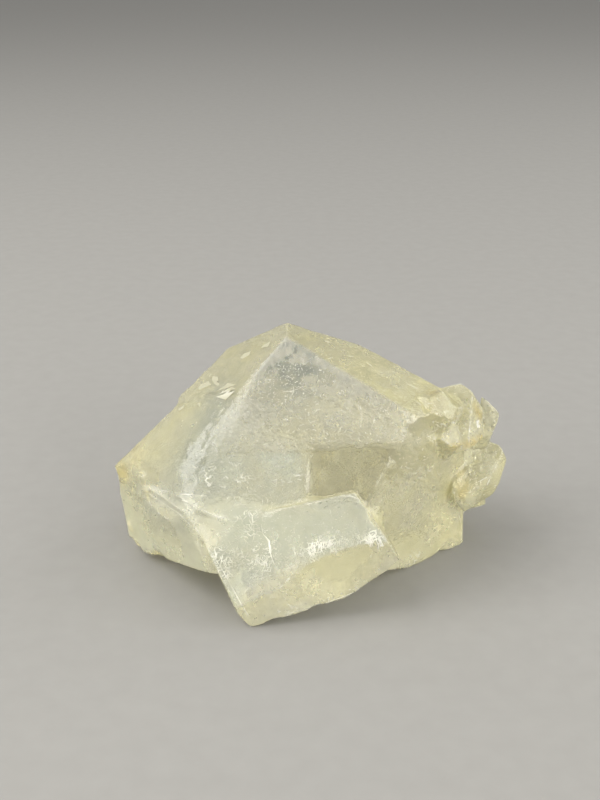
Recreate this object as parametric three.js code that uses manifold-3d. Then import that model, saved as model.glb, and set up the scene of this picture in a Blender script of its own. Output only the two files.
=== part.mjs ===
// A hand-sized aquamarine crystal, broken off at its base and standing on that break, point up.
// Millimetres, +Z up. The broad front face looks along -Y. The origin is the bottom centre of its box.
import * as THREE from 'three';
import { mergeVertices } from 'three/addons/utils/BufferGeometryUtils.js';
import Module from 'manifold-3d';

const wasm = await Module();
wasm.setup();

// Driving dimensions
const BLOCK = 140; // rough block that every crystal is cleaved from
const BEVEL_STEP = 0.7; // height of the growth step on the left bevel
const FRONT_STEP = 0.25; // height of each growth step on the broad front face
const BACK_STEP = 0.9; // height of each growth step on the back
const CHIP_FACET = 1.3; // about the size of the facets in the hollows that chips leave
const BALL_DETAIL = 4; // how often at least the edges of a ball's first triangles are split
const WELD = 1e-4; // corners closer together than this are one

// Every crystal face is a plane: the compass bearing that it looks to (0 is -Y, 90 is +X), how far it
// looks up (rise, in degrees), and its distance in millimetres from the middle of its own crystal.
const face = (bearing, rise, reach) => ({ out: outward(bearing, rise), reach });
const at = (x, y, z) => new THREE.Vector3(x, y, z);

// The main crystal, measured from the middle of its broken base
const FRONT = face(-4, 22, 17.2);
const LEFT_BEVEL = face(-68.6, 45.2, 30.3);
const RIGHT_BEVEL = face(51.3, 60.6, 33.7);
const BACK_CROWN = face(172, 36.8, 24.1);
const BACK_LEFT = face(-143.9, 25.8, 26);
const BACK_RIGHT = face(144.4, 41.5, 28.6);
const LEFT_SIDE = face(-49.6, -3.2, 20.2);
const RIGHT_SIDE = face(38.2, -7.5, 12.5);
const LEFT_END = face(-120, -9, 25.6);
const RIGHT_END = face(125, 10.7, 23.3);
const BACK = face(177, 5, 19.4);
const UNDERCUT = face(-7.4, -68, 0.3);
const BASE = face(0, -90, 0);
const SINGLE_FACES = [RIGHT_BEVEL, BACK_RIGHT, LEFT_SIDE, RIGHT_SIDE, LEFT_END, RIGHT_END, UNDERCUT, BASE];

// Risers of the growth steps: what lies behind a riser keeps the higher level
const LEFT_RISER = face(-40.7, -8.2, 5.5);
const FRONT_RISER = face(1.8, -36.8, -7.2);
const WINDOW_RISER = face(57, 11.5, 9.6);
const BACK_RISER_HIGH = face(-160, -24, 1);
const BACK_RISER_LOW = face(150, -30, 1.5);
const WALL_RISER = face(-112, 24, 7);

// The fin that stands out of the lower front, from the same middle
const FIN = [
  face(-6.8, 33, 19.6), // bright plate
  face(10, -4, 17.4), // lower face
  LEFT_SIDE,
  face(-95.7, -33.6, 5.3), // undercut heel, left of the tip
  face(149, -67.8, -7.7), // underside by the tip
  face(118, -53.2, -4.6), // underside by the broken end
  face(101.3, 33.7, 13.9), // broken right end
  face(180, 0, 2), // inside the main crystal
  BASE,
];
const FIN_RIGHT_LEDGE = face(-146.5, 66.6, 11.5);
const FIN_LEFT_LEDGE = face(155, 70.1, 9.9);

// Crystals grown on the right end, each from its own middle
const SIDE_CRYSTALS = [
  {
    middle: at(23.3, 0, 25.6), // tall one by the ridge
    faces: [
      face(-165, 51, 3.8),
      face(121, 38, 2.9),
      face(94, 0, 3.4),
      face(56, -65, 4.9),
      face(-98, -32, 2.9),
      face(-106, -14, 2.9),
      face(-18, 24, 2.6),
      face(52, 12, 2.9),
      face(178, -4, 5),
    ],
  },
  {
    middle: at(27.9, 3, 15.2), // rounded one below it
    faces: [
      face(-154, 44, 3.4),
      face(145, 48, 3.2),
      face(110, 26, 3.3),
      face(84, -17, 3),
      face(65, -51, 4.7),
      face(-106, -17, 4.2),
      face(-2, 34, 3.1),
      face(38, 8, 3.4),
      face(24, -28, 4.2),
      face(170, -10, 5.5),
    ],
  },
  {
    middle: at(28.4, 2, 24.3), // splinter between the two
    faces: [
      face(-114, 0, 1.5),
      face(121, 39, 1),
      face(89, -8, 1.1),
      face(82, -23, 1.3),
      face(20, -70, 3.2),
      face(-4, 16, 1.2),
      face(176, -6, 2.4),
    ],
  },
];

// Six-sided prisms on the hidden side: middle, where the axis looks, radius, half length and turn
const PRISMS = [
  { middle: at(22.5, 8.5, 17), bearing: 118, rise: 20, radius: 4.2, half: 5.5, turn: 12 },
  { middle: at(19.5, 13, 11), bearing: 146, rise: 14, radius: 4.8, half: 5.5, turn: 38 },
  { middle: at(24.5, 8.5, 7.5), bearing: 112, rise: 4, radius: 3.2, half: 4.2, turn: 20 },
];
const PRISM_SIDES = 6;
const PRISM_SLANT = 0.08; // how much wider every second side stands

// Blocky lumps in the crook of the side crystals: middle, radius, and a turn that sets each one's own look
const LUMPS = [
  { middle: at(18.4, -3.4, 27), radius: 2.9, turn: 20 }, // on the shoulder
  { middle: at(16.8, -4.7, 23.4), radius: 2.5, turn: 75 },
  { middle: at(20.3, -2.1, 22.8), radius: 2.8, turn: 140 },
  { middle: at(26.2, 3.2, 20.6), radius: 2.3, turn: 200 }, // between the side crystals
  { middle: at(22.6, 8.4, 21.2), radius: 3.8, turn: 310 }, // behind them
  { middle: at(13.6, 15.8, 6.6), radius: 4.6, turn: 350 },
];
const LUMP_SPREAD = 0.16; // how far a lump's faces stand from an even radius

// Hollows left by chips: a place on the surface, where the hollow looks, its radius and its depth
const CHIPS = [
  { place: at(-30.6, 3.7, 11.4), bearing: -82, rise: 2, radius: 8, depth: 0.7 }, // left corner
  { place: at(-28.6, 1, 13.6), bearing: -56, rise: 22, radius: 4, depth: 0.5 },
  { place: at(-23.4, -4.8, 14.4), bearing: -43, rise: 10, radius: 18, depth: 0.8 },
  { place: at(-27.6, 1.1, 1.2), bearing: -62, rise: -34, radius: 5, depth: 0.9 }, // bottom of the left side
  { place: at(-23, -4.5, 3), bearing: -50, rise: -48, radius: 4, depth: 0.6 },
  { place: at(-15.4, -11, 16.4), bearing: -8, rise: 26, radius: 24, depth: 0.35 }, // hollow by the plate
  { place: at(3.4, -17.8, 8.8), bearing: 8, rise: 4, radius: 34, depth: 1.1 }, // shell under the plate
  { place: at(-4.6, -18.4, 0.6), bearing: 20, rise: -58, radius: 3.4, depth: 0.5 }, // bottom of the fin
  { place: at(1.6, -17.6, 2.4), bearing: 24, rise: -52, radius: 3, depth: 0.5 },
  { place: at(8.4, -16.6, 4.8), bearing: 30, rise: -50, radius: 2.6, depth: 0.5 },
  { place: at(12.6, -16, 8), bearing: 56, rise: -38, radius: 2.4, depth: 0.6 },
  { place: at(9.4, -14.6, 15.4), bearing: 84, rise: 40, radius: 4, depth: 0.4 }, // right end of the plate
  { place: at(21.7, 1, 0.4), bearing: 40, rise: -50, radius: 2.6, depth: 0.4 }, // foot of the right side
  { place: at(-26, 10.5, 2), bearing: -120, rise: -20, radius: 8, depth: 1.1 }, // back
  { place: at(-17, 20.5, 2.4), bearing: -165, rise: -10, radius: 10, depth: 1.2 },
  { place: at(3, 19.6, 3), bearing: 178, rise: -14, radius: 12, depth: 1.1 },
  { place: at(-2, 18, 16), bearing: 176, rise: 22, radius: 18, depth: 0.9 },
  { place: at(-23.5, 12, 15), bearing: -136, rise: 12, radius: 12, depth: 0.8 },
];
const NODULE = { middle: at(-27.4, 2.4, 4.9), radius: 1.6 }; // glassy bump low on the left side

// Unit vector along a compass bearing and rise.
function outward(bearing, rise) {
  const turn = THREE.MathUtils.degToRad(bearing);
  const lift = THREE.MathUtils.degToRad(rise);
  return new THREE.Vector3(
    Math.sin(turn) * Math.cos(lift),
    -Math.cos(turn) * Math.cos(lift),
    Math.sin(lift),
  );
}

// A closed three.js geometry as a solid that can be joined and cut.
function solidOf(geometry) {
  const bare = geometry.clone();
  bare.deleteAttribute('normal');
  bare.deleteAttribute('uv');
  const merged = mergeVertices(bare, WELD);
  return new wasm.Manifold(
    new wasm.Mesh({
      numProp: 3,
      vertProperties: new Float32Array(merged.attributes.position.array),
      triVerts: new Uint32Array(merged.index.array),
    }),
  );
}

// The convex crystal that a list of faces encloses round its middle.
function crystal(faces, middle = at(0, 0, 0)) {
  const block = new THREE.BoxGeometry(BLOCK, BLOCK, BLOCK);
  block.translate(middle.x, middle.y, middle.z);
  return faces.reduce((left, { out, reach }) => {
    const inward = out.clone().negate();
    return left.trimByPlane(inward.toArray(), inward.dot(middle) - reach);
  }, solidOf(block));
}

// All that lies behind a face which drops one step at each riser, the first riser bounding its top level.
function terraces({ out, reach }, step, risers) {
  const level = (count) => ({ out, reach: reach - step * count });
  return risers.reduce(
    (ground, riser, count) => ground.add(crystal([level(count), riser])),
    crystal([level(risers.length)]),
  );
}

// A six-sided prism along its axis, every second side a little further out.
function prism({ middle, bearing, rise, radius, half, turn }) {
  const axis = outward(bearing, rise);
  const upright = new THREE.Quaternion().setFromUnitVectors(at(0, 0, 1), axis);
  const faces = [
    { out: axis, reach: half },
    { out: axis.clone().negate(), reach: half },
  ];
  for (let side = 0; side < PRISM_SIDES; side += 1) {
    const out = outward(turn + (side * 360) / PRISM_SIDES, 0).applyQuaternion(upright);
    faces.push({ out, reach: radius * (1 + PRISM_SLANT * (side % 2)) });
  }
  return crystal(faces, middle);
}

// A blocky lump: the twelve faces of a dodecahedron, turned its own way and pushed in and out a little.
function lump({ middle, radius, turn }) {
  const corners = new THREE.IcosahedronGeometry(1, 0);
  corners.rotateX(THREE.MathUtils.degToRad(turn));
  corners.rotateZ(THREE.MathUtils.degToRad(turn * 2));
  const spots = mergeVertices(corners.deleteAttribute('normal').deleteAttribute('uv')).attributes.position;
  const faces = [];
  for (let spot = 0; spot < spots.count; spot += 1) {
    const out = new THREE.Vector3().fromBufferAttribute(spots, spot).normalize();
    faces.push({ out, reach: radius * (1 + LUMP_SPREAD * Math.sin(turn * (spot + 1))) });
  }
  return crystal(faces, middle);
}

// A ball with facets of about the chips' size, or smaller.
function ball({ middle, radius }) {
  const detail = Math.max(BALL_DETAIL, Math.round(radius / CHIP_FACET));
  const geometry = new THREE.IcosahedronGeometry(radius, detail);
  geometry.translate(middle.x, middle.y, middle.z);
  return solidOf(geometry);
}

// The ball whose cap is the hollow that a chip leaves.
function chip({ place, bearing, rise, radius, depth }) {
  const middle = outward(bearing, rise).multiplyScalar(radius - depth).add(place);
  return ball({ middle, radius });
}

// The main crystal with its growth steps
let body = [
  terraces(FRONT, FRONT_STEP, [FRONT_RISER, WINDOW_RISER]),
  terraces(LEFT_BEVEL, BEVEL_STEP, [LEFT_RISER]),
  terraces(BACK_LEFT, BEVEL_STEP, [LEFT_RISER]),
  terraces(BACK_CROWN, BACK_STEP, [BACK_RISER_HIGH, BACK_RISER_LOW]),
  terraces(BACK, BACK_STEP, [WALL_RISER]),
].reduce((left, stepped) => left.intersect(stepped), crystal(SINGLE_FACES));

// The fin and the smaller crystals grow out of it, and chips are broken off all of them
for (const ledge of [FIN_RIGHT_LEDGE, FIN_LEFT_LEDGE]) {
  body = body.add(crystal([...FIN, ledge]));
}
for (const { faces, middle } of SIDE_CRYSTALS) {
  body = body.add(crystal(faces, middle));
}
for (const each of PRISMS) {
  body = body.add(prism(each));
}
for (const each of LUMPS) {
  body = body.add(lump(each));
}
for (const each of CHIPS) {
  body = body.subtract(chip(each));
}
body = body.add(ball(NODULE));
body = body.trimByPlane([0, 0, 1], 0);

// The finished solid as a mesh geometry, set on its bottom centre.
function geometryOf(solid) {
  const made = solid.getMesh();
  const geometry = new THREE.BufferGeometry();
  geometry.setAttribute('position', new THREE.BufferAttribute(made.vertProperties, 3));
  geometry.setIndex(new THREE.BufferAttribute(made.triVerts, 1));
  geometry.computeBoundingBox();
  const centre = geometry.boundingBox.getCenter(new THREE.Vector3());
  geometry.translate(-centre.x, -centre.y, -geometry.boundingBox.min.z);
  const faceted = geometry.toNonIndexed();
  faceted.computeVertexNormals();
  return faceted;
}

const beryl = new THREE.MeshStandardMaterial({
  color: 0xdadbbb,
  roughness: 0.12,
  metalness: 0,
  transparent: true,
  opacity: 0.6,
});

const mesh = new THREE.Mesh(geometryOf(body), beryl);
mesh.name = 'crystal';
const aquamarine = new THREE.Group();
aquamarine.add(mesh);

export default aquamarine;
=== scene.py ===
# The looks of a pale aquamarine crystal: fine surface, clear material, bright flecks, floor, light and camera
import math

import bpy
import numpy as np
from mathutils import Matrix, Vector, geometry
from mathutils.bvhtree import BVHTree
from mathutils.kdtree import KDTree


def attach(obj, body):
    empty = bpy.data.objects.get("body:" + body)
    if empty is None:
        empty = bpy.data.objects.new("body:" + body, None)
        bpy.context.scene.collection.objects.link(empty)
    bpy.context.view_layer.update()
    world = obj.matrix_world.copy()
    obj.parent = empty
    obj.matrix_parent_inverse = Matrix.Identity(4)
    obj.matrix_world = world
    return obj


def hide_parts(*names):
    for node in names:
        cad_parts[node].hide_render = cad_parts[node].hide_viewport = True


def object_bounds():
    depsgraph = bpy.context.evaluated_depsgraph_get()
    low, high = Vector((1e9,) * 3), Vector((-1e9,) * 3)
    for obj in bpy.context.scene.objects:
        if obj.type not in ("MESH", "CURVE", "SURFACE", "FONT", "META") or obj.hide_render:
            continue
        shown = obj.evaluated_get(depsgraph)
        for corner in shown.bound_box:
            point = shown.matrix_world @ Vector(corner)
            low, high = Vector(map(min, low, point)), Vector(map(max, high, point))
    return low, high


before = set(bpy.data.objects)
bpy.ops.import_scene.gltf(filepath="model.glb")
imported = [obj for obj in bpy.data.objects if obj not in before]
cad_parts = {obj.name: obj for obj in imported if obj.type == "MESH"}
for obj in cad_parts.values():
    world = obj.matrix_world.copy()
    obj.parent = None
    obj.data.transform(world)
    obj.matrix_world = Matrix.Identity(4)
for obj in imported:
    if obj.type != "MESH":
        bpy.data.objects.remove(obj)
cad_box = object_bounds()

# Sizes are in millimetres unless a name says otherwise; Blender's own unit is the metre
MM = 0.001
SEEN_SPACING = 0.28  # between the points of the fine surface, on the seen side
HIDDEN_SPACING = 0.42  # and on the faces that look away from the camera
JITTER = 0.2  # how far a point of the fine surface strays from its lattice, in spacings
RIM_ROOM = 0.6  # least distance from such a point to its face's rim, in spacings
FLAT_DEG = 0.4  # triangles that meet at less than this are one flat face
SHARP_DEG = 18.0  # flat faces that meet at more than this keep an edge
SLIVER = 0.004  # a triangle lower than this belongs to the face across its longest side
HOLLOW_AREA = 1.6  # flat faces smaller than this, in square millimetres, belong to a chip's hollow
FILL_HULL = 0  # Blender's number for triangles out to the convex hull
MERGED = 1e-5  # points of a plan closer together than this become one
ROUNDING = 1e-9  # room for rounding where a spot is tested against a side
SEED = 20
NOISE_VALUES = 4096
NOISE_PRIMES = (73856093, 19349663, 83492791)

# Where the camera stands from the crystal's point, and how it looks
CAMERA_FROM_POINT = Vector((1.92, -154.24, 56.11))
CAMERA_DOWN_DEG = 24.0
CAMERA_LENS = 50.0
CAMERA_SENSOR = 36.0
IMAGE_WIDTH = 600
IMAGE_HEIGHT = 800

# Compass bearing (0 is -Y, 90 is +X) and rise of the faces that have a look of their own
FACE_LOOKS = {
    "front": (-4.0, 22.0),
    "left_bevel": (-68.6, 45.2),
    "right_bevel": (51.3, 60.6),
    "left_side": (-49.6, -3.2),
    "right_side": (38.2, -7.5),
    "plate": (-6.8, 33.0),
    "fin_face": (10.0, -4.0),
    "base": (0.0, -90.0),
}
STEP_LOOKS = [(1.8, -36.8), (57.0, 11.5), (-40.7, -8.2), (-160.0, -24.0), (150.0, -30.0), (-112.0, 24.0)]
FACE_MATCH_DEG = 1.0


def outward(bearing, rise):
    """Unit vector along a compass bearing and rise."""
    turn = math.radians(bearing)
    lift = math.radians(rise)
    return np.array([math.sin(turn) * math.cos(lift), -math.cos(turn) * math.cos(lift), math.sin(lift)])


def unit(vectors):
    """Vectors of length one."""
    return vectors / np.maximum(np.linalg.norm(vectors, axis=-1, keepdims=True), 1e-12)


def noise(points, size, seed):
    """Smooth noise from -1 to 1 whose bumps are about one size across."""
    table = np.random.default_rng(SEED + seed).uniform(-1.0, 1.0, NOISE_VALUES)
    scaled = np.asarray(points) / size
    cell = np.floor(scaled).astype(np.int64)
    part = scaled - cell
    part = part * part * (3.0 - 2.0 * part)
    total = np.zeros(len(scaled))
    for corner in np.ndindex(2, 2, 2):
        across, along, up = ((cell + corner) * NOISE_PRIMES).T
        share = np.prod(np.where(corner, part, 1.0 - part), axis=1)
        total += share * table[(across ^ along ^ up) % NOISE_VALUES]
    return total


def layered_noise(points, size, seed, layers=3):
    """Noise with finer and weaker noise on top."""
    total = np.zeros(len(points))
    for layer in range(layers):
        total += noise(points, size / 2 ** layer, seed + layer) / 2 ** layer
    return total


# The fine surface

def cad_triangles(name):
    """Points and triangles of a solid of the frame, with shared points merged."""
    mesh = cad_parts[name].data
    mesh.calc_loop_triangles()
    points = np.empty(len(mesh.vertices) * 3)
    mesh.vertices.foreach_get("co", points)
    triangles = np.empty(len(mesh.loop_triangles) * 3, dtype=np.int32)
    mesh.loop_triangles.foreach_get("vertices", triangles)
    points = np.round(points.reshape(-1, 3) / MM, 4)
    points, shared = np.unique(points, axis=0, return_inverse=True)
    triangles = shared.reshape(-1)[triangles].reshape(-1, 3)
    whole = triangles[:, 0] != triangles[:, 1]
    whole &= triangles[:, 1] != triangles[:, 2]
    whole &= triangles[:, 2] != triangles[:, 0]
    return points, triangles[whole]


def crosses_of(points, triangles):
    """Vector along each triangle's normal, twice its area long."""
    first, second, third = (points[triangles[:, k]] for k in range(3))
    return np.cross(second - first, third - first)


def normals_of_faces(crosses, faces):
    """Unit normal of each flat face."""
    return unit(np.stack([np.bincount(faces, column) for column in crosses.T], axis=1))


def edges_of(triangles):
    """The two points of each edge, lower number first, and its two triangles."""
    sides = np.concatenate([triangles[:, [0, 1]], triangles[:, [1, 2]], triangles[:, [2, 0]]])
    owners = np.tile(np.arange(len(triangles)), 3)
    sides = np.sort(sides, axis=1)
    order = np.lexsort((sides[:, 1], sides[:, 0]))
    sides = sides[order]
    owners = owners[order]
    first = np.flatnonzero(np.all(sides[1:] == sides[:-1], axis=1))
    return sides[first], np.stack([owners[first], owners[first + 1]], axis=1)


def flat_faces(points, triangles):
    """Number of the flat face that each triangle belongs to."""
    crosses = crosses_of(points, triangles)
    normals = unit(crosses)
    sides, owners = edges_of(triangles)
    lengths = np.linalg.norm(points[sides[:, 0]] - points[sides[:, 1]], axis=1)
    longest = np.zeros(len(triangles))
    np.maximum.at(longest, owners.ravel(), np.repeat(lengths, 2))
    thin = np.linalg.norm(crosses, axis=1) < SLIVER * longest
    turns = np.einsum("ij,ij->i", normals[owners[:, 0]], normals[owners[:, 1]])
    joined = (turns > math.cos(math.radians(FLAT_DEG))) & ~thin[owners].any(axis=1)
    joined |= (thin[owners] & (lengths[:, None] >= longest[owners])).any(axis=1)
    chief = np.arange(len(triangles))

    def chief_of(triangle):
        while chief[triangle] != triangle:
            triangle = chief[triangle]
        return triangle

    for one, other in owners[joined]:
        chief[chief_of(one)] = chief_of(other)
    chiefs = [chief_of(triangle) for triangle in range(len(triangles))]
    return np.unique(chiefs, return_inverse=True)[1].reshape(-1)


def inside(samples, corners):
    """Which flat samples lie in any of the triangles."""
    found = np.zeros(len(samples), dtype=bool)
    for a, b, c in corners:
        low = np.minimum(np.minimum(a, b), c)
        high = np.maximum(np.maximum(a, b), c)
        near = np.flatnonzero(~found & np.all((samples >= low) & (samples <= high), axis=1))
        held = np.ones(len(near), dtype=bool)
        for start, end in ((a, b), (b, c), (c, a)):
            along = end - start
            away = samples[near] - start
            held &= along[0] * away[:, 1] - along[1] * away[:, 0] >= -ROUNDING
        found[near[held]] = True
    return found


def lattice(low, high, spacing, random):
    """Jittered triangular lattice over a flat box."""
    rows = np.arange(low[1], high[1] + spacing, spacing * math.sqrt(0.75))
    columns = np.arange(low[0], high[0] + spacing, spacing)
    across, along = np.meshgrid(columns, rows)
    across = across + spacing / 2 * (np.arange(len(rows)) % 2)[:, None]
    spots = np.stack([across.ravel(), along.ravel()], axis=1)
    return spots + random.uniform(-JITTER, JITTER, spots.shape) * spacing


def inner_spots(rim, corners, spacing, random):
    """Lattice spots in the triangles of a flat face, with some room to its rim."""
    spots = lattice(rim.min(axis=0), rim.max(axis=0), spacing, random)
    spots = spots[inside(spots, corners)]
    tree = KDTree(len(rim))
    for k, (x, y) in enumerate(rim):
        tree.insert((x, y, 0.0), k)
    tree.balance()
    return [spot for spot in spots if tree.find((spot[0], spot[1], 0.0))[2] > RIM_ROOM * spacing]


def within_rims(cells, rims):
    """The triangles within the rims: on the way in from outside, each rim crossed changes sides."""
    sides = [[tuple(sorted((cell[k - 1], cell[k]))) for k in range(3)] for cell in cells]
    cells_at = {}
    for number, own in enumerate(sides):
        for side in own:
            cells_at.setdefault(side, []).append(number)
    within = {}
    waiting = [(own[0], side in rims) for side, own in cells_at.items() if len(own) == 1]
    while waiting:
        number, held = waiting.pop()
        if number in within:
            continue
        within[number] = held
        for side in sides[number]:
            across = held != (side in rims)
            waiting.extend((other, across) for other in cells_at[side] if other not in within)
    return np.array([cell for number, cell in enumerate(cells) if within[number]])


def split_rims(points, triangles, faces, spacings):
    """The points with new ones along the rims of the flat faces, and the chains of points round each face."""
    sides, owners = edges_of(triangles)
    rims = {number: [] for number in range(faces.max() + 1)}
    fine = list(points)
    for (start, end), (one, other) in zip(sides, owners):
        if faces[one] == faces[other]:
            continue
        spacing = min(spacings[faces[one]], spacings[faces[other]])
        along = points[end] - points[start]
        count = max(1, round(np.linalg.norm(along) / spacing))
        chain = [start, *range(len(fine), len(fine) + count - 1), end]
        fine.extend(points[start] + along * k / count for k in range(1, count))
        rims[faces[one]].append(chain)
        rims[faces[other]].append(chain)
    return fine, rims


def fine_surface(points, triangles):
    """The same surface in small triangles: points, triangles, and each triangle's flat face."""
    random = np.random.default_rng(SEED)
    faces = flat_faces(points, triangles)
    face_normals = normals_of_faces(crosses_of(points, triangles), faces)
    to_camera = outward(0.0, CAMERA_DOWN_DEG)
    spacings = np.where(face_normals @ to_camera > 0.0, SEEN_SPACING, HIDDEN_SPACING)
    fine, rims = split_rims(points, triangles, faces, spacings)
    small = []
    small_faces = []
    for number, chains in rims.items():
        own = triangles[faces == number]
        normal = face_normals[number]
        across = unit(np.cross(normal, np.eye(3)[np.argmin(np.abs(normal))]))
        plan = np.stack([across, np.cross(normal, across)], axis=1)
        origin = points[own[0, 0]]
        used = sorted({spot for chain in chains for spot in chain})
        order = {spot: k for k, spot in enumerate(used)}
        rim = (np.array([fine[spot] for spot in used]) - origin) @ plan
        spots = inner_spots(rim, (points[own] - origin) @ plan, spacings[number], random)
        bounds = [(order[a], order[b]) for chain in chains for a, b in zip(chain, chain[1:])]
        flat = [Vector(spot) for spot in rim] + [Vector(spot) for spot in spots]
        filled = geometry.delaunay_2d_cdt(flat, bounds, [], FILL_HULL, MERGED)
        flat, joins, cells, sources, join_sources, _ = filled
        index = []
        for spot, source in zip(flat, sources):
            if source and source[0] < len(used):
                index.append(used[source[0]])
            else:
                index.append(len(fine))
                fine.append(origin + plan @ np.array(spot))
        rim_joins = {tuple(sorted(join)) for join, source in zip(joins, join_sources) if source}
        cells = within_rims(cells, rim_joins)
        small.append(np.array(index)[cells])
        small_faces.append(np.full(len(cells), number))
    return np.array(fine), np.concatenate(small), np.concatenate(small_faces)


def only_used(points, triangles):
    """The points that some triangle uses, and the triangles renumbered."""
    used, renumbered = np.unique(triangles, return_inverse=True)
    return points[used], renumbered.reshape(triangles.shape)


def point_sums(values, triangles, count):
    """Sum, at each point, of the values of the triangles round it."""
    spread = np.repeat(values, 3, axis=0)
    if spread.ndim == 1:
        return np.bincount(triangles.ravel(), spread, count)
    return np.stack([np.bincount(triangles.ravel(), column, count) for column in spread.T], axis=1)


def point_normals(points, triangles):
    """Unit normal of the surface at each point."""
    return unit(point_sums(crosses_of(points, triangles), triangles, len(points)))


def smoothed(values, sides, weights, rounds):
    """Values drawn towards those of their neighbours, as far as each point's weight says."""
    count = len(values)
    ends = np.concatenate([sides[:, 0], sides[:, 1]])
    others = np.concatenate([sides[:, 1], sides[:, 0]])
    number = np.maximum(np.bincount(ends, minlength=count), 1)
    for _ in range(rounds):
        if values.ndim == 1:
            middle = np.bincount(ends, values[others], count) / number
            values = values + weights * (middle - values)
        else:
            sums = [np.bincount(ends, column[others], count) for column in values.T]
            middle = np.stack(sums, axis=1) / number[:, None]
            values = values + weights[:, None] * (middle - values)
    return values


points, triangles, faces = fine_surface(*cad_triangles("crystal"))
points, triangles = only_used(points, triangles)
crosses = crosses_of(points, triangles)
sides, owners = edges_of(triangles)
areas = np.linalg.norm(crosses, axis=1) / 2
face_areas = np.bincount(faces, areas)
face_normals = normals_of_faces(crosses, faces)
point_areas = point_sums(areas, triangles, len(points)) / 3

# The photograph's pixels, found on the surface
surface_tree = BVHTree.FromPolygons(points.tolist(), triangles.tolist())
camera_at = Vector(points[np.argmax(points[:, 2])]) + CAMERA_FROM_POINT
camera_ahead = -Vector(outward(0.0, CAMERA_DOWN_DEG))
camera_right = Vector((1.0, 0.0, 0.0))
camera_up = camera_right.cross(camera_ahead)
PIXEL = CAMERA_SENSOR / CAMERA_LENS / IMAGE_HEIGHT
PIXEL_STEP = 1.5  # between the pixels that follow a line


def seen(pixel):
    """Place on the surface, and its triangle, that the camera sees at a pixel, or the nearest ones."""
    sideways = (pixel[0] - IMAGE_WIDTH / 2) * PIXEL
    upwards = (IMAGE_HEIGHT / 2 - pixel[1]) * PIXEL
    ray = camera_ahead + camera_right * sideways + camera_up * upwards
    place, _, triangle, _ = surface_tree.ray_cast(camera_at, ray.normalized())
    if place is None:
        place, _, triangle, _ = surface_tree.find_nearest(camera_at + ray * CAMERA_FROM_POINT.length)
    return np.array(place), triangle


def distances(spots):
    """Distance of each point of the surface to the nearest of some spots."""
    nearest = np.full(len(points), np.inf)
    for spot in spots:
        nearest = np.minimum(nearest, ((points - spot) ** 2).sum(axis=1))
    return np.sqrt(nearest)


def patch(pixel, radius):
    """From 1 at a pixel of the photograph to 0 away from it."""
    return np.exp(-(distances([seen(pixel)[0]]) / radius) ** 2)


def pixels_between(pixels):
    """Pixels close together along a line through a few pixels."""
    line = [pixels[0]]
    for start, end in zip(pixels, pixels[1:]):
        steps = max(1, round(math.dist(start, end) / PIXEL_STEP))
        for k in range(1, steps + 1):
            share = k / steps
            line.append((start[0] + (end[0] - start[0]) * share, start[1] + (end[1] - start[1]) * share))
    return line


def stroke(pixels, radius):
    """From 1 on a line through pixels of the photograph to 0 away from it."""
    spots = [seen(pixel)[0] for pixel in pixels_between(pixels)]
    return np.exp(-(distances(spots) / radius) ** 2)


# Regions: how much each point belongs to a face with a look of its own
WINDOW_PIXEL = (350, 472)
LOW_FRONT_PIXEL = (230, 465)


def faces_like(bearing, rise):
    """Which flat faces look along a bearing and rise."""
    return face_normals @ outward(bearing, rise) > math.cos(math.radians(FACE_MATCH_DEG))


region_of_face = np.full(len(face_areas), "other", dtype=object)
for name, look in FACE_LOOKS.items():
    region_of_face[faces_like(*look)] = name
region_of_face[face_areas < HOLLOW_AREA] = "hollow"
for look in STEP_LOOKS:
    region_of_face[faces_like(*look)] = "step"
region_of_face[faces[seen(WINDOW_PIXEL)[1]]] = "window"
region_of_face[faces[seen(LOW_FRONT_PIXEL)[1]]] = "low_front"
regions = {}
for name in [*FACE_LOOKS, "low_front", "window", "step", "hollow", "other"]:
    share = point_sums(areas * (region_of_face[faces] == name), triangles, len(points)) / 3
    regions[name] = share / point_areas
bevels = regions["left_bevel"] + regions["right_bevel"]
fronts = regions["front"] + regions["low_front"]

# Edges: sharp ones are worn a little, blunt ones between the facets of a hollow are smoothed away
RIGHT_BREAK = [(416, 430), (406, 455), (392, 490), (378, 515)]
KITE_FADE = [(214, 408), (203, 432), (190, 466)]
MELTED_EDGES = [  # line in pixels, and how far the melting reaches
    ([(136, 467), (160, 468), (180, 470)], 2.2),
    ([(184, 476), (188, 490), (193, 507)], 2.2),
    (RIGHT_BREAK, 2.0),
    ([(308, 456), (308, 475), (308, 494)], 0.9),
    ([(203, 514), (222, 521), (246, 521)], 2.6),
]
MELTED_AWAY = 0.3  # an edge that is melted more than this is no edge any more
SMOOTHING = {  # how strongly, and in how many rounds, points or masks are drawn to their neighbours
    "blunt": (0.5, 12),
    "melted": (0.6, 120),
    "faded": (0.7, 300),
    "worn": (0.5, 2),
    "all": (0.3, 2),
    "near_edge": (0.5, 4),
    "edge_lines": (0.4, 3),
    "melted_mask": (0.6, 80),
    "mask": (0.5, 2),
}
WAVER = 0.04  # how far the surface wavers everywhere
BREAK_WAVER = 0.35  # and how much further at the break on the right
STEP_WAVER = 0.4  # and on the steps


def softened(kind, values, where, links):
    """Values after one kind of smoothing along some edges, as far as each point's share says."""
    strength, rounds = SMOOTHING[kind]
    return smoothed(values, links, strength * where, rounds)


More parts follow.
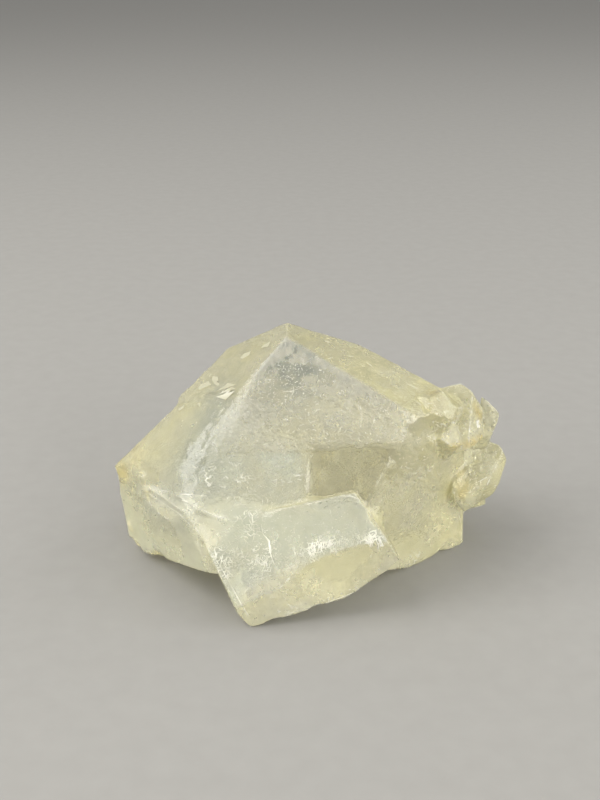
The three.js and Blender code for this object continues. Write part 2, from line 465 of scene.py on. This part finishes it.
turns = np.einsum("ij,ij->i", face_normals[faces[owners[:, 0]]], face_normals[faces[owners[:, 1]]])
sharp = turns < math.cos(math.radians(SHARP_DEG))
edge = np.zeros(len(points))
edge[sides[sharp].ravel()] = 1.0
all_round = np.ones(len(points))
edge[(regions["step"] > 0.0) & (regions["window"] == 0.0)] = 0.0
melt = np.max([stroke(line, radius) for line, radius in MELTED_EDGES], axis=0)
kite_fade = stroke(KITE_FADE, 5.0)
melt = np.maximum(melt, kite_fade)
edge[melt > MELTED_AWAY] = 0.0
points = softened("blunt", points, 1.0 - edge, sides)
points = softened("melted", points, melt, sides)
points = softened("faded", points, kite_fade, sides)
wear = np.clip(0.4 + 0.8 * noise(points, 3.0, 1), 0.0, 1.0)
points = softened("worn", points, edge * wear, sides)
points = softened("all", points, all_round, sides)
near_edge = softened("near_edge", edge, all_round, sides)

# Edges waver as natural ones do, most on the steps and where the front breaks off on the right
waver = np.stack([layered_noise(points, 2.4, seed, 2) for seed in (150, 152, 154)], axis=1)
waver_reach = WAVER + BREAK_WAVER * stroke(RIGHT_BREAK, 2.0) + STEP_WAVER * regions["step"]
points = points + waver * waver_reach[:, None]

# Relief along the surface's own normal
CLUSTER_PIXEL = (468, 440)
CLUSTER_REACH = 13.0
PLATE_FLUTES = [(262, 556), (300, 550), (330, 545), (360, 540), (384, 534)]
PLATE_RIPPLES = [(250, 575), (300, 560), (350, 548)]
PLATE_CRACK = [(261, 524), (263, 534), (269, 541), (270, 552), (273, 562), (276, 567)]
CRACK_DEPTH = 0.1
HACKLES = [
    [(151, 489), (165, 498), (182, 511)],
    [(176, 495), (190, 503), (206, 512)],
    [(197, 510), (212, 516), (227, 521)],
]
HACKLE_HEIGHT = 0.2
TAB_PIXEL = (416, 558)
DENTS = [  # pixel, radius and height
    ((124, 486), 1.2, -0.35),
    ((136, 484), 1.0, -0.3),
    ((146, 491), 0.8, 0.2),
    ((118, 498), 1.0, -0.3),
    ((130, 497), 0.8, -0.25),
    ((140, 496), 0.6, 0.2),
    ((133, 527), 1.1, 0.25),
    ((142, 478), 0.7, 0.2),
    ((402, 561), 0.9, -0.7),
    (TAB_PIXEL, 0.9, 0.35),
]
EDGE_CALM = 0.8  # how much less relief there is along a sharp edge


def streaks(along, size, stretch, seed):
    """Noise drawn out along a direction."""
    shrunk = points - np.outer(points @ along, along) * (1.0 - 1.0 / stretch)
    return layered_noise(shrunk, size, seed, 2)


def within_cad(spots):
    """Spots, brought inside the box of the solid where they stand out of it."""
    return np.clip(spots, np.array(cad_box[0]) / MM, np.array(cad_box[1]) / MM)


cluster = np.clip(2.0 - distances([seen(CLUSTER_PIXEL)[0]]) / CLUSTER_REACH, 0.0, 1.0) * regions["other"]
normals = point_normals(points, triangles)
ridge_left = unit(np.cross(outward(*FACE_LOOKS["front"]), outward(*FACE_LOOKS["left_bevel"])))
ridge_right = unit(np.cross(outward(*FACE_LOOKS["front"]), outward(*FACE_LOOKS["right_bevel"])))
plate_down = unit(np.cross(outward(*FACE_LOOKS["plate"]), np.array([1.0, 0.1, 0.0])))
flutes = stroke(PLATE_FLUTES, 2.2) * regions["plate"]
ripples = stroke(PLATE_RIPPLES, 5.0) * regions["plate"]
broken = layered_noise(points, 2.4, 10) + 0.6 * layered_noise(points, 0.9, 20, 2)
growth = layered_noise(points, 5.0, 30)
etched = (1.0 - np.abs(layered_noise(points, 1.6, 40, 2))) ** 3
pebbled = layered_noise(points, 1.0, 45, 2)
relief_layers = [  # height in millimetres, pattern and place
    (0.05, growth, 1.0 - 0.7 * bevels),
    (0.07, etched, fronts),
    (0.02, pebbled, fronts),
    (0.025, streaks(ridge_left, 0.8, 14.0, 50), regions["left_bevel"]),
    (0.025, streaks(ridge_right, 0.8, 14.0, 60), regions["right_bevel"]),
    (0.06, etched, flutes),
    (0.05, pebbled, flutes),
    (0.08, streaks(ridge_right, 1.0, 3.0, 80), ripples),
    (0.02, layered_noise(points, 2.0, 90), regions["plate"]),
    (0.03, streaks(plate_down, 0.5, 5.0, 70), regions["plate"]),
    (0.03, pebbled, regions["plate"]),
    (0.08, broken, regions["fin_face"]),
    (0.03, broken, regions["hollow"] + regions["other"]),
    (0.015, broken, regions["left_side"] + regions["right_side"]),
    (0.09, pebbled, cluster),
    (0.08, etched, cluster),
    (0.16, layered_noise(points, 1.8, 180), stroke(KITE_FADE, 3.5)),
]
relief = sum(height * pattern * place for height, pattern, place in relief_layers)
relief += sum(height * patch(pixel, radius) for pixel, radius, height in DENTS)
relief += HACKLE_HEIGHT * sum(stroke(hackle, 0.4) for hackle in HACKLES)
relief -= CRACK_DEPTH * stroke(PLATE_CRACK, 0.3)
relief *= (1.0 - EDGE_CALM * near_edge) * (1.0 - regions["base"])
points = points + normals * relief[:, None]
along_edges = sides[edge[sides].all(axis=1)]
points = softened("edge_lines", points, edge, along_edges)
points = within_cad(points)
normals = point_normals(points, triangles)


def mesh_object(name, spots, cells, smooth=True):
    """New object from points in millimetres."""
    mesh = bpy.data.meshes.new(name)
    mesh.from_pydata((np.asarray(spots) * MM).tolist(), [], [list(cell) for cell in cells])
    mesh.polygons.foreach_set("use_smooth", np.full(len(mesh.polygons), smooth))
    mesh.update()
    piece = bpy.data.objects.new(name, mesh)
    bpy.context.scene.collection.objects.link(piece)
    return piece


def add_mask(piece, name, values):
    """Store a number from 0 to 1 at each point, for the material to read."""
    layer = piece.data.attributes.new(name, "FLOAT", "POINT")
    layer.data.foreach_set("value", np.clip(values, 0.0, 1.0))


surface_tree = BVHTree.FromPolygons(points.tolist(), triangles.tolist())
crystal = mesh_object("crystal_surface", points, triangles.tolist())
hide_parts("crystal")
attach(crystal, "root")

# Masks for the material, each from 0 to 1
FACE_FINISH = {  # how frosted, warm, grainy and blue-green each kind of face is
    "front": (0.6, 0.42, 0.9, 0.1),
    "low_front": (0.5, 0.4, 0.85, 0.8),
    "window": (0.1, 0.7, 0.3, 0.0),
    "plate": (0.5, 0.15, 0.65, 0.7),
    "left_bevel": (0.35, 0.8, 0.25, 0.0),
    "right_bevel": (0.4, 0.95, 0.2, 0.0),
    "fin_face": (0.7, 0.55, 0.7, 0.0),
    "left_side": (0.8, 0.6, 0.35, 0.3),
    "right_side": (0.5, 0.75, 0.6, 0.0),
    "base": (0.8, 0.6, 0.5, 0.0),
    "hollow": (0.6, 0.65, 0.5, 0.0),
    "other": (0.55, 0.8, 0.6, 0.0),
    "step": (0.5, 0.5, 0.5, 0.0),
}
DARK_PIXEL = (293, 367)
SHADED_PIXEL = (232, 442)
LUMP_PIXEL = (438, 402)
FEATHERED = [(160, 493), (190, 503), (215, 515), (246, 521)]
FIN_SHOULDER = [(250, 597), (265, 588), (282, 579), (298, 570)]
CORNER_STAIN = (124, 462)
STAIN_LINES = [  # line in pixels, and how far the stain reaches
    ([(433, 391), (434, 404)], 0.9),
    ([(476, 405), (480, 416)], 0.8),
    ([(455, 447), (468, 444), (482, 438)], 0.7),
    ([(463, 474), (463, 496)], 0.9),
]
UPRIGHT = np.array([0.0, 0.0, 1.0])
drift = points + 2.0 * np.stack([noise(points, 4.0, seed) for seed in (100, 101, 102)], axis=1)
cloud = np.clip(0.5 + 0.9 * layered_noise(drift, 4.5, 110), 0.0, 1.0)
kite_rim = points[(fronts > 0.0) & (bevels > 0.0)]
rim_haze = np.exp(-distances(kite_rim) / 2.5) * fronts * (1.0 - stroke(KITE_FADE, 7.0))
blotches = np.clip(0.55 + 1.8 * layered_noise(points, 0.7, 140), 0.0, 1.0)
feathered = stroke(FEATHERED, 3.0)
shoulder = stroke(FIN_SHOULDER, 1.7) * regions["plate"]
frost, warmth, grain, aqua = sum(np.outer(FACE_FINISH[name], share) for name, share in regions.items())
# Painted shade: the plate, the left side, a shaded patch and the strip along the kite's left edge are
# darkened against the light that falls on them; a blotchy patch on the front is darkened as well
painted_shade_and_dark_patch = 0.45 * regions["plate"] + 1.6 * patch(DARK_PIXEL, 4.2) * regions["front"] * blotches
painted_shade_and_dark_patch += 0.3 * regions["left_side"] + 0.2 * patch(SHADED_PIXEL, 8.0) + 0.75 * stroke(KITE_FADE, 3.5)
painted_shade_and_dark_patch *= 1.0 - shoulder
# Olive tone on the window and a little on the right bevel; the olive patch on a lump among the small crystals
# is painted shade, darkening facets that catch the light
olive_and_painted_shade = regions["window"] * np.clip(0.95 + 0.5 * streaks(UPRIGHT, 1.0, 5.0, 160), 0.0, 1.0)
olive_and_painted_shade += 0.15 * regions["right_bevel"] + 0.6 * patch(LUMP_PIXEL, 1.8)
aqua = aqua * np.clip(0.4 + cloud, 0.0, 1.0)
aqua = (aqua + 0.4 * feathered + 0.35 * kite_fade) * (1.0 - shoulder)
frost = frost + 0.35 * (cloud - 0.5) + 0.3 * rim_haze - 0.4 * painted_shade_and_dark_patch + 0.3 * kite_fade
warmth = warmth + 0.25 * (0.5 - cloud) - 0.3 * rim_haze - 0.45 * feathered + 0.4 * shoulder
stain = patch(CORNER_STAIN, 3.4) + sum(stroke(line, radius) for line, radius in STAIN_LINES)
stain = stain * np.clip(0.6 + 0.8 * layered_noise(points, 1.5, 120), 0.0, 1.0)
grain = grain * (1.0 - 0.5 * melt) + 0.35 * cluster
masks = {
    "frost": frost,
    "warmth": warmth,
    "aqua": aqua,
    "stain": stain,
    "painted_shade_and_dark_patch": painted_shade_and_dark_patch,
    "olive_and_painted_shade": olive_and_painted_shade,
    "grain": grain,
}
for name, values in masks.items():
    values = softened("melted_mask", values, melt, sides)
    add_mask(crystal, name, softened("mask", values, all_round, sides))

# Materials
BERYL_IOR = 1.575
CLEAR = (0.95, 0.95, 0.94, 1.0)
STRAW = (0.92, 0.895, 0.61, 1.0)
BLUE_GREEN = (0.86, 0.93, 0.87, 1.0)
RUST = (0.86, 0.70, 0.28, 1.0)
# Grey of the painted shade, and of the darker patch on the front
PAINTED_SHADE_GREY = (0.55, 0.60, 0.60, 1.0)
OLIVE = (0.62, 0.60, 0.44, 1.0)
ABSORBED = (0.80, 0.73, 0.2, 1.0)
ABSORPTION_PER_METRE = 14.0
BUMP_METRES = 0.0003
CHIP_CREAM = (0.90, 0.88, 0.74, 1.0)
CHIP_WHITE = (0.97, 0.97, 0.92, 1.0)
CHIP_ON_BEVEL = (0.60, 0.58, 0.42, 1.0)
BOARD_DARK = (0.26, 0.255, 0.24, 1.0)
BOARD_PALE = (0.29, 0.285, 0.27, 1.0)

# Places of the mix node's colour sockets
MIX_FACTOR = 0
MIX_A = 6
MIX_B = 7
MIX_RESULT = 2


def new_material(name):
    """Empty node material, and a maker of nodes for it."""
    material = bpy.data.materials.new(name)
    material.use_nodes = True
    tree = material.node_tree
    tree.nodes.clear()

    def node(kind, inputs=None, output=0, **settings):
        made = tree.nodes.new(kind)
        for key, value in settings.items():
            setattr(made, key, value)
        for key, value in (inputs or {}).items():
            if isinstance(value, bpy.types.NodeSocket):
                tree.links.new(value, made.inputs[key])
            else:
                made.inputs[key].default_value = value
        return made.outputs[output] if made.outputs else made

    return material, node


def mixed(node, share, one, other, **settings):
    """Colour between two others."""
    inputs = {MIX_FACTOR: share, MIX_A: one, MIX_B: other}
    return node("ShaderNodeMix", inputs, MIX_RESULT, data_type="RGBA", **settings)


def ranged(node, value, start, end, low, high):
    """Number from low to high as a value goes from start to end."""
    inputs = {"Value": value, "From Min": start, "From Max": end, "To Min": low, "To Max": high}
    return node("ShaderNodeMapRange", inputs, "Result")


def speckle(node, scale, detail):
    """Noise in the object's own frame, with a scale in bumps per metre."""
    where = node("ShaderNodeTexCoord", output="Object")
    return node("ShaderNodeTexNoise", {"Vector": where, "Scale": scale, "Detail": detail}, "Fac")


def mask(node, name):
    """Number stored at the points of the mesh."""
    return node("ShaderNodeAttribute", output="Fac", attribute_name=name)


def beryl_material():
    """Clear pale beryl, frosted, warm, stained and olive where the masks say, with grey mixed in as painted
    shade and for a darker patch on the front, and olive as painted shade on one lump.
    """
    material, node = new_material("beryl")
    fine = speckle(node, 2200.0, 3.0)
    mottle = speckle(node, 700.0, 4.0)
    where = node("ShaderNodeTexCoord", output="Object")
    pits = node("ShaderNodeTexVoronoi", {"Vector": where, "Scale": 1500.0}, "Distance")
    colour = mixed(node, mask(node, "warmth"), CLEAR, STRAW)
    colour = mixed(node, mask(node, "aqua"), colour, BLUE_GREEN)
    colour = mixed(node, mask(node, "stain"), colour, RUST)
    # Painted shade, and the darker patch on the front, mixed in as grey
    colour = mixed(node, mask(node, "painted_shade_and_dark_patch"), colour, PAINTED_SHADE_GREY)
    # Olive, which on a lump among the small crystals is painted shade
    colour = mixed(node, mask(node, "olive_and_painted_shade"), colour, OLIVE)
    shade = ranged(node, mottle, 0.3, 0.7, 0.86, 1.0)
    colour = mixed(node, 1.0, colour, shade, blend_type="MULTIPLY")
    frosted = node("ShaderNodeMath", {0: mask(node, "frost"), 1: mottle}, operation="ADD")
    height = node("ShaderNodeMath", {0: pits, 1: 0.5, 2: fine}, operation="MULTIPLY_ADD")
    strength = ranged(node, mask(node, "grain"), 0.0, 1.0, 0.02, 0.55)
    bump = node("ShaderNodeBump", {"Strength": strength, "Distance": BUMP_METRES, "Height": height}, "Normal")
    shader = node("ShaderNodeBsdfPrincipled", {
        "Base Color": colour,
        "Roughness": ranged(node, frosted, 0.5, 1.5, 0.03, 0.42),
        "Normal": bump,
        "IOR": BERYL_IOR,
        "Transmission Weight": 0.75,
    })
    depth = node("ShaderNodeVolumeAbsorption", {"Color": ABSORBED, "Density": ABSORPTION_PER_METRE})
    node("ShaderNodeOutputMaterial", {"Surface": shader, "Volume": depth})
    return material


def fleck_material():
    """Bright clear chip, duller on the bevels."""
    material, node = new_material("bright_chip")
    mottle = speckle(node, 2500.0, 2.0)
    colour = mixed(node, mottle, CHIP_CREAM, CHIP_WHITE)
    shader = node("ShaderNodeBsdfPrincipled", {
        "Base Color": mixed(node, mask(node, "on_bevel"), colour, CHIP_ON_BEVEL),
        "Roughness": ranged(node, mottle, 0.0, 1.0, 0.1, 0.3),
        "IOR": BERYL_IOR,
        "Transmission Weight": 0.35,
    })
    node("ShaderNodeOutputMaterial", {"Surface": shader})
    return material


def floor_material():
    """Pale warm grey board."""
    material, node = new_material("floor_board")
    tone = mixed(node, speckle(node, 300.0, 3.0), BOARD_DARK, BOARD_PALE)
    shader = node("ShaderNodeBsdfPrincipled", {"Base Color": tone, "Roughness": 0.85})
    node("ShaderNodeOutputMaterial", {"Surface": shader})
    return material


crystal.data.materials.append(beryl_material())

# Flecks: small bright chips, growth marks and ridges, which stand just clear of the surface
FOOT_LIFT = 0.02  # lowest point of a chip, above the surface
RIM_LIFT = 0.03  # rim of a fleck, and foot of a ridge
CREST_LIFT = 0.04  # rim of a facet, and what a fleck's own height is added to
FACET_LIFT = 0.07  # middle of a facet
FLECK_CORNERS = 6
DASH_HEIGHT = 0.04
RIDGE_HEIGHT = 0.02  # least height of a ridge
RIDGE_STEEPNESS = 0.2  # height that a ridge gains with its width
LONGEST_STEP = 1.5  # a line that goes further than this from one pixel to the next has left its face
LEAST_STEP = 0.02
STRAY = 0.15  # how far flecks stray from the direction that they follow
SCRIBBLE_LEGS = 3
SCRIBBLE_TURN_DEG = 30.0
SCRIBBLE_BEND = 0.6
CHIPPED_FACES = ["plate", "fin_face", "left_side", "right_side"]
CHIPPED_SHARE = 0.14
EDGE_CHIP_LENGTHS = (0.4, 1.1)
EDGE_CHIP_WIDTHS = (0.1, 0.2)
EDGE_CHIP_HEIGHT = 0.03
FIN_CREST = [(257, 580), (275, 574), (293, 567), (308, 562)]
FIN_FOOT = [(258, 626), (290, 613), (320, 605), (345, 596), (370, 585), (393, 570)]
RIGHT_SIDE_PIXEL = (405, 475)
DASHES = [  # first and last pixel, and width
    ((244, 357), (252, 352), 0.35),
    ((261, 348), (268, 344), 0.3),
    ((197, 389), (210, 383), 0.5),
    ((214, 381), (220, 385), 0.6),
    ((216, 398), (234, 388), 0.5),
    ((222, 389), (236, 384), 0.4),
    ((180, 408), (186, 403), 0.35),
    ((158, 429), (164, 425), 0.3),
    ((324, 341), (331, 343), 0.35),
    ((327, 359), (333, 357), 0.3),
    ((346, 356), (354, 358), 0.35),
    ((363, 361), (374, 368), 0.4),
    ((378, 371), (384, 373), 0.35),
    ((405, 383), (420, 390), 0.4),
    ((414, 400), (423, 406), 0.4),
    ((340, 349), (345, 351), 0.25),
    ((392, 384), (399, 387), 0.3),
    ((352, 366), (357, 367), 0.25),
]
RIBBONS = [  # line in pixels, and width
    ([(265, 512), (300, 505), (335, 497), (350, 496), (360, 500)], 0.2),
    ([(362, 503), (375, 522), (387, 540)], 0.22),
    (PLATE_CRACK, 0.35),
    (FIN_CREST, 0.16),
    ([(186, 512), (205, 543), (222, 569), (240, 602), (253, 624)], 0.18),
    (HACKLES[0], 0.16),
    ([(148, 489), (165, 491), (180, 494), (207, 496)], 0.25),
    ([(182, 500), (197, 507), (212, 515), (230, 520)], 0.2),
    ([(160, 492), (176, 495), (190, 503), (206, 512), (222, 519)], 0.14),
    ([(150, 494), (163, 503), (180, 514), (192, 527)], 0.12),
    ([(459, 515), (462, 530), (461, 542)], 0.16),
    ([(472, 485), (480, 481), (487, 477)], 0.25),
    ([(470, 480), (478, 478)], 0.15),
    ([(260, 398), (276, 393), (292, 391), (308, 385)], 0.1),
    (FIN_FOOT, 0.2),
]
FACETS = [  # corners in pixels
    [(217, 391), (228, 383), (236, 385)],
    [(216, 397), (235, 391), (226, 400)],
    [(219, 394), (232, 387), (236, 389)],
    [(198, 389), (200, 385), (209, 381), (211, 385), (200, 390)],
    [(212, 380), (213, 376), (218, 377), (219, 381), (214, 383)],
    [(240, 358), (244, 354), (251, 351), (250, 355), (243, 359)],
    [(261, 348), (265, 344), (271, 342), (268, 347)],
    [(178, 409), (185, 405), (184, 408), (180, 411)],
    [(197, 404), (201, 402), (200, 407)],
    [(476, 421), (479, 420), (480, 427), (477, 428)],
]
SCRIBBLES = [  # faces; line, spread, number, heading in degrees and lengths, in pixels; widths
    (["plate"], [(300, 555), (330, 541), (360, 536), (384, 532)],
     (5.0, 4.0), 150, 100.0, (4.0, 10.0), (0.1, 0.32)),
    (["plate"], [(205, 530), (235, 560), (262, 556)],
     (12.0, 9.0), 90, 130.0, (5.0, 13.0), (0.08, 0.25)),
    (["plate", "low_front", "left_side", "step", "other"], [(190, 505), (225, 519), (255, 528)],
     (9.0, 6.0), 70, 20.0, (5.0, 13.0), (0.1, 0.28)),
    (["low_front", "front"], [(176, 476), (230, 472), (304, 480)],
     (8.0, 7.0), 70, 20.0, (3.0, 7.0), (0.1, 0.3)),
    (["front"], [(240, 420), (340, 410)],
     (25.0, 14.0), 45, -20.0, (2.5, 6.0), (0.08, 0.2)),
    (["right_side", "other"], [(395, 480), (420, 470)],
     (14.0, 12.0), 40, 0.0, (2.5, 6.0), (0.08, 0.18)),
    (["other", "hollow"], [(415, 425), (440, 420)],
     (9.0, 8.0), 60, 30.0, (2.5, 6.0), (0.1, 0.25)),
    (["other", "hollow"], [(455, 410), (470, 470)],
     (10.0, 14.0), 50, 60.0, (2.5, 6.0), (0.08, 0.2)),
    (["fin_face"], [(270, 600), (380, 560)],
     (10.0, 6.0), 25, 20.0, (3.0, 7.0), (0.08, 0.2)),
]
inland = np.clip(1.0 - 1.5 * near_edge, 0.0, 1.0)
fleck_fields = [  # where, how many, along what, lengths, widths and height
    (regions["left_bevel"] * inland, 10, ridge_left, (0.3, 1.0), (0.1, 0.2), 0.02),
    (regions["right_bevel"] * inland, 10, ridge_right, (0.3, 1.2), (0.1, 0.2), 0.02),
    (fronts * (0.2 + cloud) * inland, 260, None, (0.15, 0.55), (0.06, 0.16), 0.03),
    (flutes + 0.5 * ripples, 260, None, (0.12, 0.45), (0.05, 0.14), 0.04),
    (stroke(FIN_FOOT, 0.8), 140, None, (0.15, 0.5), (0.1, 0.25), 0.04),
    (patch(TAB_PIXEL, 1.4), 30, None, (0.2, 0.6), (0.1, 0.25), 0.04),
    (patch(DARK_PIXEL, 3.6) * regions["front"], 160, None, (0.1, 0.4), (0.05, 0.12), 0.03),
    (rim_haze, 600, None, (0.08, 0.32), (0.05, 0.12), 0.02),
    (patch(RIGHT_SIDE_PIXEL, 4.0) * regions["right_side"], 60, None, (0.1, 0.4), (0.06, 0.14), 0.02),
    (cluster, 60, None, (0.2, 0.6), (0.1, 0.2), 0.03),
    (regions["other"] + regions["hollow"], 120, None, (0.2, 0.7), (0.08, 0.2), 0.03),
]
fleck_spots = []
fleck_cells = []
fleck_random = np.random.default_rng(SEED + 5)


def nearest(place):
    """Number of the surface's point nearest to a place."""
    return np.argmin(((points - place) ** 2).sum(axis=1))


def add_chip(rim, crest, foot):
    """Closed chip from the corners of its rim, its crest and its foot."""
    first = len(fleck_spots)
    corners = len(rim)
    fleck_spots.extend([*rim, crest, foot])
    for k in range(corners):
        following = (k + 1) % corners
        fleck_cells.append((first + k, first + following, first + corners))
        fleck_cells.append((first + following, first + k, first + corners + 1))


def add_fleck(place, normal, along, length, width, lift):
    """Low faceted chip with a ridge along a direction."""
    along = unit(along - normal * (along @ normal))
    across = np.cross(normal, along)
    rim = []
    for k in range(FLECK_CORNERS):
        turn = 2 * math.pi * (k + fleck_random.uniform(-0.25, 0.25)) / FLECK_CORNERS
        reach = fleck_random.uniform(0.75, 1.0)
        flat = along * math.cos(turn) * length / 2 + across * math.sin(turn) * width / 2
        rim.append(place + flat * reach + normal * RIM_LIFT)
    lean = along * fleck_random.uniform(-0.2, 0.2) * length
    lean = lean + across * fleck_random.uniform(-0.3, 0.3) * width
    add_chip(rim, place + lean + normal * (CREST_LIFT + lift), place + normal * FOOT_LIFT)


def scatter_flecks(place, number, along, lengths, widths, lift):
    """Flecks at random points, more where the place's share is higher."""
    chance = place * point_areas
    chosen = fleck_random.choice(len(points), number, p=chance / chance.sum())
    for spot in chosen:
        direction = fleck_random.normal(size=3)
        if along is not None:
            direction = along + STRAY * direction
        length = fleck_random.uniform(*lengths)
        width = fleck_random.uniform(*widths)
        height = lift * fleck_random.uniform(0.5, 1.0)
        add_fleck(points[spot], normals[spot], direction, length, width, height)


def add_dash(start, end, width):
    """Bright growth mark between two pixels of the photograph."""
    along = seen(end)[0] - seen(start)[0]
    spot = nearest((seen(start)[0] + seen(end)[0]) / 2)
    add_fleck(points[spot], normals[spot], along, np.linalg.norm(along), width, DASH_HEIGHT)


def add_facet(pixels):
    """Low bright facet with its corners at pixels of the photograph."""
    rim = np.array([seen(pixel)[0] for pixel in pixels])
    middle = rim.mean(axis=0)
    normal = normals[nearest(middle)]
    if np.cross(rim[1] - rim[0], rim[2] - rim[0]) @ normal < 0.0:
        rim = rim[::-1]
    add_chip(rim + normal * CREST_LIFT, middle + normal * FACET_LIFT, middle + normal * FOOT_LIFT)


def unbroken_runs(spots):
    """The spots of a line in runs without jumps from one face to another behind it, or standstills."""
    runs = [[spots[0]]]
    for spot in spots[1:]:
        step = np.linalg.norm(spot - runs[-1][-1])
        if step > LONGEST_STEP:
            runs.append([spot])
        elif step > LEAST_STEP:
            runs[-1].append(spot)
    return [np.array(run) for run in runs if len(run) > 1]


def add_ribbon(pixels, width):
    """Thin bright ridge, uneven in width, through pixels of the photograph."""
    for spots in unbroken_runs([seen(pixel)[0] for pixel in pixels_between(pixels)]):
        widths = 0.65 * width * np.clip(0.45 + 0.9 * noise(spots, 1.5, 170), 0.15, 1.0)
        first = len(fleck_spots)
        for k, place in enumerate(spots):
            normal = normals[nearest(place)]
            along = spots[min(k + 1, len(spots) - 1)] - spots[max(k - 1, 0)]
            across = unit(np.cross(normal, along)) * widths[k] / 2
            foot = place + normal * RIM_LIFT
            crest = foot + normal * (RIDGE_HEIGHT + RIDGE_STEEPNESS * widths[k])
            fleck_spots.extend([foot - across, foot + across, crest])
        last = len(fleck_spots) - 3
        for k in range(first, last, 3):
            fleck_cells.append((k, k + 1, k + 4, k + 3))
            fleck_cells.append((k + 1, k + 2, k + 5, k + 4))
            fleck_cells.append((k, k + 3, k + 5, k + 2))
        fleck_cells.append((first, first + 2, first + 1))
        fleck_cells.append((last, last + 1, last + 2))


def scatter_scribbles(names, line, spread, number, heading, lengths, widths):
    """Short wavy bright ridges on the named faces, near a line and about a heading."""
    line = np.array(line, dtype=float)
    for _ in range(number):
        leg = fleck_random.integers(len(line) - 1)
        start = line[leg] + (line[leg + 1] - line[leg]) * fleck_random.uniform()
        start = start + fleck_random.normal(size=2) * spread
        turn = math.radians(heading + SCRIBBLE_TURN_DEG * fleck_random.normal())
        step = np.array([math.cos(turn), math.sin(turn)]) * fleck_random.uniform(*lengths) / SCRIBBLE_LEGS
        bends = SCRIBBLE_BEND * fleck_random.normal(size=SCRIBBLE_LEGS + 1)
        width = fleck_random.uniform(*widths)
        if region_of_face[faces[seen(start)[1]]] in names:
            sideways = np.array([-step[1], step[0]])
            add_ribbon([start + step * k + sideways * bend for k, bend in enumerate(bends)], width)


def edge_flecks(chance):
    """Bright chips along the convex edges."""
    middles = points[triangles].mean(axis=1)
    one, other = owners[sharp].T
    cell_normals = unit(crosses_of(points, triangles))
    convex = np.einsum("ij,ij->i", middles[other] - middles[one], cell_normals[one]) < 0.0
    chipped = sum(regions[name] for name in CHIPPED_FACES) + cluster
    chipped = chipped * edge * (regions["window"] == 0.0)
    for start, end in sides[sharp][convex]:
        if chipped[start] * chipped[end] == 0.0:
            continue
        if fleck_random.uniform() > chance * max(0.0, 0.5 + noise(points[[start]], 5.0, 130)[0]):
            continue
        place = (points[start] + points[end]) / 2
        normal = unit(normals[start] + normals[end])
        length = fleck_random.uniform(*EDGE_CHIP_LENGTHS)
        width = fleck_random.uniform(*EDGE_CHIP_WIDTHS)
        add_fleck(place, normal, points[end] - points[start], length, width, EDGE_CHIP_HEIGHT)


for start, end, width in DASHES:
    add_dash(start, end, width)
for line, width in RIBBONS:
    add_ribbon(line, width)
for corners in FACETS:
    add_facet(corners)
for scribbles in SCRIBBLES:
    scatter_scribbles(*scribbles)
edge_flecks(CHIPPED_SHARE)
for field in fleck_fields:
    scatter_flecks(*field)
flecks = mesh_object("surface_flecks", within_cad(fleck_spots), fleck_cells, smooth=False)
flecks.data.materials.append(fleck_material())
point_tree = KDTree(len(points))
for number, spot in enumerate(points):
    point_tree.insert(spot, number)
point_tree.balance()
add_mask(flecks, "on_bevel", bevels[[point_tree.find(spot)[1] for spot in fleck_spots]])
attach(flecks, "root")

# Floor, light and camera
FLOOR_REACH = 4000.0
FLOOR_HEIGHT = -0.03
FLOOR_CORNERS = [(-1, -1), (1, -1), (1, 1), (-1, 1)]
LIGHT_AIM_HEIGHT = 15.0
WARM_WHITE = (1.0, 0.98, 0.95)
LIGHTS = [  # name, bearing, rise, distance, size, watts and tint
    ("key_light", -75.0, 50.0, 600.0, 450.0, 2.8, WARM_WHITE),
    ("left_light", -65.0, 12.0, 700.0, 500.0, 3.1, WARM_WHITE),
    ("front_light", 40.0, 12.0, 700.0, 500.0, 4.1, WARM_WHITE),
    ("right_light", 95.0, 22.0, 650.0, 700.0, 3.4, (1.0, 0.99, 0.97)),
    ("back_light", -150.0, 60.0, 700.0, 500.0, 0.6, (1.0, 0.98, 0.94)),
]
ROOM_TINT = (1.0, 0.99, 0.97, 1.0)
ROOM_STRENGTH = 0.6


def soft_light(name, bearing, rise, distance, size, watts, tint):
    """Square light that looks at the middle of the crystal."""
    lamp = bpy.data.lights.new(name, "AREA")
    lamp.size = size * MM
    lamp.energy = watts
    lamp.color = tint
    holder = bpy.data.objects.new(name, lamp)
    middle = Vector((0.0, 0.0, LIGHT_AIM_HEIGHT * MM))
    away = Vector(outward(bearing, rise))
    holder.location = middle + away * distance * MM
    holder.rotation_euler = away.to_track_quat("Z", "Y").to_euler()
    bpy.context.scene.collection.objects.link(holder)


floor_spots = [(x * FLOOR_REACH, y * FLOOR_REACH, FLOOR_HEIGHT) for x, y in FLOOR_CORNERS]
floor = mesh_object("floor", floor_spots, [(0, 1, 2, 3)], smooth=False)
floor.data.materials.append(floor_material())

for light in LIGHTS:
    soft_light(*light)

world = bpy.data.worlds.new("soft_room")
world.use_nodes = True
world.node_tree.nodes["Background"].inputs["Color"].default_value = ROOM_TINT
world.node_tree.nodes["Background"].inputs["Strength"].default_value = ROOM_STRENGTH
bpy.context.scene.world = world

lens = bpy.data.cameras.new("camera")
lens.lens = CAMERA_LENS
lens.sensor_width = CAMERA_SENSOR
lens.clip_start = 0.01
lens.clip_end = 20.0
camera = bpy.data.objects.new("camera", lens)
camera.location = camera_at * MM
camera.rotation_euler = (math.radians(90.0 - CAMERA_DOWN_DEG), 0.0, 0.0)
bpy.context.scene.collection.objects.link(camera)
bpy.context.scene.camera = camera
bpy.context.scene.view_settings.view_transform = "Standard"
